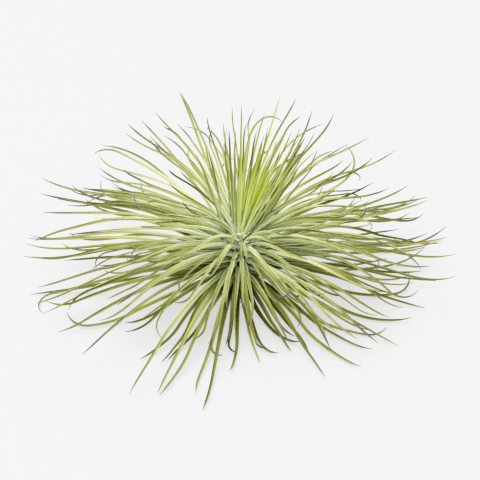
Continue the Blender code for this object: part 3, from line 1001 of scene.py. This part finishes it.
leafLooks = {
    "outer": {
        "fresh": ((0.0, (0.67, 0.72, 0.55)), (0.20, (0.555, 0.61, 0.40)), (0.40, (0.475, 0.505, 0.265)),
                  (0.60, (0.39, 0.395, 0.165)), (0.85, (0.335, 0.335, 0.155)), (1.0, (0.31, 0.285, 0.19))),
        # their own browner colour, with painted shade darkest towards the base
        "old": ((0.0, (0.19, 0.185, 0.03)), (0.2, (0.195, 0.19, 0.03)), (0.5, (0.28, 0.275, 0.07)),
                (0.8, (0.275, 0.275, 0.095)), (1.0, (0.27, 0.245, 0.16))),
        "oldness": (1.12, -1.5, -0.5),  # start, and how age and tone change it
        "undersideShade": (0.46, 0.48, 0.31),  # painted shade over the colour of the channel
        "marginShade": (0.86, 0.87, 0.78),
    },
    "heart": {
        # the lime in the middle is the young leaves' own colour, brightened with painted light shining
        # through them
        "fresh": ((0.0, (0.68, 0.74, 0.58)), (0.34, (0.54, 0.64, 0.34)), (0.52, (0.61, 0.68, 0.02)),
                  (0.74, (0.60, 0.66, 0.04)), (0.86, (0.54, 0.60, 0.26)), (1.0, (0.48, 0.47, 0.22))),
        "old": ((0.0, (0.60, 0.66, 0.52)), (0.3, (0.54, 0.61, 0.37)), (0.7, (0.50, 0.56, 0.22)),
                (1.0, (0.42, 0.40, 0.18))),
        "oldness": (19.0, -19.0, -0.6),
        # painted shade of the underside and the margins
        "undersideShade": (0.62, 0.66, 0.34),
        "marginShade": (0.86, 0.88, 0.66),
    },
    "sheath": {
        "fresh": ((0.0, (0.74, 0.79, 0.62)), (0.10, (0.78, 0.83, 0.66)), (0.14, (0.68, 0.73, 0.50))),
        # old sheaths deep in colour with painted shade
        "old": ((0.0, (0.30, 0.28, 0.16)), (0.14, (0.34, 0.34, 0.16))),
        "oldness": (1.12, -1.5, -0.5),
        # painted shade of the underside, milder than on the blades
        "undersideShade": (0.90, 0.91, 0.86),
        "marginShade": (1.0, 1.0, 1.0),
    },
    "surface": {
        "Roughness": 0.55,
        "Sheen Weight": 0.15,
        "Sheen Roughness": 0.45,
        "Sheen Tint": (0.95, 1.0, 0.80, 1.0),
        "Specular IOR Level": 0.3,
    },
    "lines": ((22.0, 5.0, 40.0), 3.0),  # fine lines: round, along and from leaf to leaf, then detail
    "lineShare": 0.9,
    "lineShade": ((0.3, (0.66, 0.67, 0.55)), (0.7, (1.15, 1.15, 1.10))),
    "vary": ((0.0, (0.66, 0.70, 0.55)), (0.25, (0.88, 0.91, 0.78)), (0.6, (1.10, 1.10, 1.05)),
             (1.0, (1.27, 1.25, 1.08))),
    "silver": (0.92, 0.95, 0.82, 1.0),  # silvery scales, thick at the base and thin along the blade
    "scales": (2600.0, 2.0),
    "speck": ((0.34, 0.55), (0.56, 1.0)),
    "cover": ((0.10, 1.0), (0.17, 0.92), (0.27, 0.60), (0.45, 0.26), (0.9, 0.05)),
    "worn": ((0.10, 0.12), (0.55, 1.0)),  # by age: the oldest have lost most of theirs
    # painted shade round the section: the underside and the margins darker than the channel
    "round": ((0.0, "undersideShade"), (0.49, "undersideShade"), (0.565, "marginShade"), (0.63, "channel"),
              (0.87, "channel"), (0.935, "marginShade"), (0.99, "undersideShade")),
    # how much of that painted shade shows along the leaf: about half at the base
    "shadeAlong": ((0.05, 0.55), (0.20, 1.0)),
    "dryTip": (0.105, 0.093, 0.077, 1.0),
    "dryFrom": ((0.22, 1.0), (0.45, 0.95), (1.0, 0.80)),
    "dryEdge": 16.0,
    "scaleHeight": 0.6,
    "bump": (0.35, 0.00025),
}


def leafMaterial(name, looks):
    material, tree, shader = newMaterial(name, leafLooks["surface"])
    around, along = bladePlace(tree)
    tone, age, dry = (attribute(tree, label) for label in ("tone", "age", "dry"))
    # Old low leaves are darker and browner than the young ones: partly their own colour, and on the outer
    # leaves and sheaths painted shade as well, darkest towards the base
    start, byAge, byTone = looks["oldness"]
    oldness = maths("ADD", product(age, byAge), product(tone, byTone))
    oldness = maths("ADD", oldness, start, clamp=True)
    colour = mixColour(oldness, ramp(along, looks["fresh"]), ramp(along, looks["old"]))
    lines = streaks((around, along, tone), *leafLooks["lines"])
    shade = ramp(lines, leafLooks["lineShade"])
    colour = mixColour(leafLooks["lineShare"], colour, shade, "MULTIPLY")
    colour = shaded(colour, ramp(tone, leafLooks["vary"]))
    # Silvery scales cover the base
    scales = grain(objectPlace(tree), *leafLooks["scales"])
    sources = (("cover", along), ("speck", scales), ("worn", age))
    silver = product(*(ramp(source, leafLooks[key]) for key, source in sources))
    colour = mixColour(silver, colour, leafLooks["silver"])
    # Painted shade: the flanks and the underside are deeper in colour than the channel, and the margins a
    # little, as if turned from the light
    section = ramp(around, [(place, looks.get(part, 1.0)) for place, part in leafLooks["round"]])
    colour = mixColour(ramp(along, leafLooks["shadeAlong"]), colour, section, "MULTIPLY")
    # Many tips are dry and grey brown
    browned = maths("SUBTRACT", along, ramp(dry, leafLooks["dryFrom"]))
    browned = maths("MULTIPLY", browned, leafLooks["dryEdge"], clamp=True)
    colour = mixColour(browned, colour, leafLooks["dryTip"])
    height = maths("ADD", product(scales, leafLooks["scaleHeight"]), lines)
    finish(shader, colour, height, *leafLooks["bump"])
    return material


hairLooks = {
    "surface": {"Roughness": 0.5, "Sheen Weight": 0.3, "Specular IOR Level": 0.3},
    "outward": ((0.0, (0.60, 0.66, 0.42)), (0.35, (0.70, 0.75, 0.56)), (1.0, (0.78, 0.81, 0.66))),
    "along": ((0.15, 1.0), (0.5, (0.84, 0.86, 0.62))),
    "specks": (700.0, 2.0),
    "speckShade": ((0.35, (0.86, 0.88, 0.80)), (0.65, (1.06, 1.05, 1.02))),
}
stemLooks = {  # pale green wood with a dark grain
    "surface": {"Roughness": 0.8},
    "grain": (420.0, 5.0),
    "colours": ((0.3, (0.10, 0.09, 0.03)), (0.55, (0.26, 0.25, 0.10)), (0.75, (0.42, 0.42, 0.22))),
    "bump": (0.6, 0.0004),
}
rootLooks = {
    "surface": {"Roughness": 0.75},
    "grain": (1100.0, 4.0),
    "colours": ((0.35, (0.028, 0.018, 0.012)), (0.65, (0.13, 0.085, 0.05))),
    "bump": (0.6, 0.0002),
}
stubLooks = {  # dry brown fibre that runs up and down the foot
    "surface": {"Roughness": 0.85},
    "stretch": (1500.0, 1500.0, 170.0),
    "fibre": (1.0, 5.0),
    "colours": ((0.3, (0.035, 0.022, 0.014)), (0.5, (0.14, 0.085, 0.045)), (0.72, (0.34, 0.24, 0.14))),
    "blotch": (320.0, 3.0),
    "blotchShade": ((0.35, (0.6, 0.6, 0.62)), (0.65, (1.15, 1.12, 1.05))),
    "bump": (0.8, 0.0005),
}
paperLooks = {  # straw brown, veined along the scale and darker at its foot
    "surface": {"Roughness": 0.7},
    "along": ((0.0, (0.10, 0.062, 0.035)), (0.5, (0.28, 0.19, 0.105)), (1.0, (0.44, 0.34, 0.20))),
    "veins": ((16.0, 1.6, 30.0), 4.0),
    "veinShade": ((0.3, (0.55, 0.53, 0.50)), (0.7, (1.25, 1.22, 1.15))),
    "vary": ((0.0, (0.65, 0.62, 0.60)), (1.0, (1.2, 1.18, 1.10))),
    "bump": (0.5, 0.0003),
}


def hairMaterial():
    # Silvery wings, greener at the foot and along the blade
    material, tree, shader = newMaterial("silverScale", hairLooks["surface"])
    outward, along = bladePlace(tree)
    specks = grain(objectPlace(tree), *hairLooks["specks"])
    colour = shaded(ramp(outward, hairLooks["outward"]), ramp(along, hairLooks["along"]),
                    ramp(specks, hairLooks["speckShade"]))
    tree.links.new(colour, shader.inputs["Base Color"])
    return material


def woodMaterial(name, looks):
    material, tree, shader = newMaterial(name, looks["surface"])
    wood = grain(objectPlace(tree), *looks["grain"])
    finish(shader, ramp(wood, looks["colours"]), wood, *looks["bump"])
    return material


def stubMaterial():
    material, tree, shader = newMaterial("stubFibre", stubLooks["surface"])
    stretch = node(tree, "ShaderNodeMapping", Scale=stubLooks["stretch"])
    tree.links.new(objectPlace(tree), stretch.inputs["Vector"])
    fibre = grain(stretch.outputs[0], *stubLooks["fibre"])
    blotch = grain(objectPlace(tree), *stubLooks["blotch"])
    colour = shaded(ramp(fibre, stubLooks["colours"]), ramp(blotch, stubLooks["blotchShade"]))
    finish(shader, colour, fibre, *stubLooks["bump"])
    return material


def paperMaterial():
    material, tree, shader = newMaterial("dryPaper", paperLooks["surface"])
    across, along = bladePlace(tree)
    tone = attribute(tree, "tone")
    veins = streaks((across, along, tone), *paperLooks["veins"])
    colour = shaded(ramp(along, paperLooks["along"]), ramp(veins, paperLooks["veinShade"]),
                    ramp(tone, paperLooks["vary"]))
    finish(shader, colour, veins, *paperLooks["bump"])
    return material


# Leaves
outerTuft, heartTuft = growTuft()
slenderTuft = growSlender()
print("leaves of each kind:", len(outerTuft), len(slenderTuft), len(heartTuft))
master = masterBlade()
outerLeaves = joinBlades("outer", master, outerTuft)
outerLeaves.data.materials.append(leafMaterial("outerLeafSkin", leafLooks["outer"]))
slenderLeaves = joinBlades("slender", master, slenderTuft)
slenderLeaves.data.materials.append(outerLeaves.data.materials[0])
heartLeaves = joinBlades("heart", master, heartTuft)
heartLeaves.data.materials.append(leafMaterial("heartLeafSkin", leafLooks["heart"]))
print("leaves made")

leafSheaths = addSheaths(outerTuft + slenderTuft + heartTuft)
leafSheaths.data.materials.append(leafMaterial("sheathSkin", leafLooks["sheath"]))
silverHairs = addHairs(master, outerTuft + heartTuft)
silverHairs.data.materials.append(hairMaterial())
print("sheaths and silvery scales made:", len(silverHairs.data.polygons), "faces of scales")

stemAxis = addStem()
stemAxis.data.materials.append(woodMaterial("stemSkin", stemLooks))
stemStub = addStub()
stemStub.data.materials.append(stubMaterial())
dryScales = addDryScales()
dryScales.data.materials.append(paperMaterial())
wiryRoots = addRoots()
wiryRoots.data.materials.append(woodMaterial("rootBark", rootLooks))
print("stem, foot, dry scales and roots made")

for piece in (outerLeaves, slenderLeaves, heartLeaves, leafSheaths, silverHairs,
              stemAxis, stemStub, dryScales, wiryRoots):
    facingOut(piece)
    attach(piece, "root")
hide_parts("outer_leaves")
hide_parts("heart_leaves")
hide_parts("stem_stub")

# Surface, light and camera
studio = {
    "floorRadius": 3.0,
    "floorSides": 64,
    "floorShade": ((0.3, 0.174), (0.7, 0.182)),
    "floorGrain": (140.0, 4.0),
    "floorSurface": {  # its own glow keeps the shadows faint
        "Roughness": 0.7,
        "Specular IOR Level": 0.2,
        "Emission Color": (1.0, 1.0, 1.0, 1.0),
        "Emission Strength": 0.44,
    },
    "skyStrength": 1.13,
    "keyPower": 46.0,
    "keySize": 1.4,
    "keyPlace": (-0.32, 0.02, 1.55),
    "keyAim": (0, 0, 0.03),
    "filmWhite": 1.5,
    "filmCurve": ((0.0, 0.0), (0.012, 0.006), (0.035, 0.038), (0.10, 0.185), (0.20, 0.415), (0.33, 0.650),
                  (0.45, 0.800), (0.54, 0.872), (0.62, 0.912), (0.75, 0.930), (1.0, 0.94)),
    "elevation": math.radians(43),
    "distance": 0.62,
    "pixelsPerMetre": 2130.0,
    "pictureSide": 480,
    "heart": (0.003, -0.004, 0.040),
    "heartPixel": (241, 236),
    "sensor": 36.0,
}


def floorMaterial():
    material, tree, shader = newMaterial("paleSurface", studio["floorSurface"])
    shade = ramp(grain(objectPlace(tree), *studio["floorGrain"]), studio["floorShade"])
    tree.links.new(shade, shader.inputs["Base Color"])
    return material


def addFloor():
    sides, radius = studio["floorSides"], studio["floorRadius"]
    bpy.ops.mesh.primitive_circle_add(vertices=sides, radius=radius, fill_type="NGON")
    floor = bpy.context.object
    floor.name = "surface"
    floor.data.materials.append(floorMaterial())


def addKeyLight():
    place = Vector(studio["keyPlace"])
    bpy.ops.object.light_add(type="AREA", location=place)
    light = bpy.context.object
    light.name = "keyLight"
    light.data.shape = "DISK"
    light.data.size = studio["keySize"]
    light.data.energy = studio["keyPower"]
    light.rotation_euler = (Vector(studio["keyAim"]) - place).to_track_quat("-Z", "Y").to_euler()


def addSky():
    world = bpy.data.worlds.new("studio")
    bpy.context.scene.world = world
    world.use_nodes = True
    sky = world.node_tree.nodes["Background"]
    sky.inputs["Color"].default_value = (1, 1, 1, 1)
    sky.inputs["Strength"].default_value = studio["skyStrength"]


def addCamera():
    # Looks so that the heart falls on its pixel of the picture
    heart = Vector(studio["heart"])
    elevation, scale, side = studio["elevation"], studio["pixelsPerMetre"], studio["pictureSide"]
    away = Vector((0.0, -math.cos(elevation), math.sin(elevation)))
    up = Vector((0.0, math.sin(elevation), math.cos(elevation)))
    px, py = studio["heartPixel"]
    aim = heart + Vector(((side / 2 - px) / scale, 0, 0)) + up * ((py - side / 2) / scale)
    bpy.ops.object.camera_add(location=aim + away * studio["distance"])
    camera = bpy.context.object
    camera.name = "viewpoint"
    camera.rotation_euler = (-away).to_track_quat("-Z", "Y").to_euler()
    camera.data.sensor_width = studio["sensor"]
    camera.data.lens = studio["sensor"] * scale * studio["distance"] / side
    bpy.context.scene.camera = camera


def addFilmCurve():
    # Rolls off the highlights as film does, so that the pale surface keeps its soft shadows faint
    view = bpy.context.scene.view_settings
    view.view_transform = "Standard"
    view.use_curve_mapping = True
    film = view.curve_mapping
    film.white_level = (studio["filmWhite"],) * 3
    points = film.curves[3].points
    while len(points) < len(studio["filmCurve"]):
        points.new(0.5, 0.5)
    for point, place in zip(points, studio["filmCurve"]):
        point.location = place
    film.update()


addFloor()
addKeyLight()
addCamera()
addSky()
addFilmCurve()
print("studio ready")
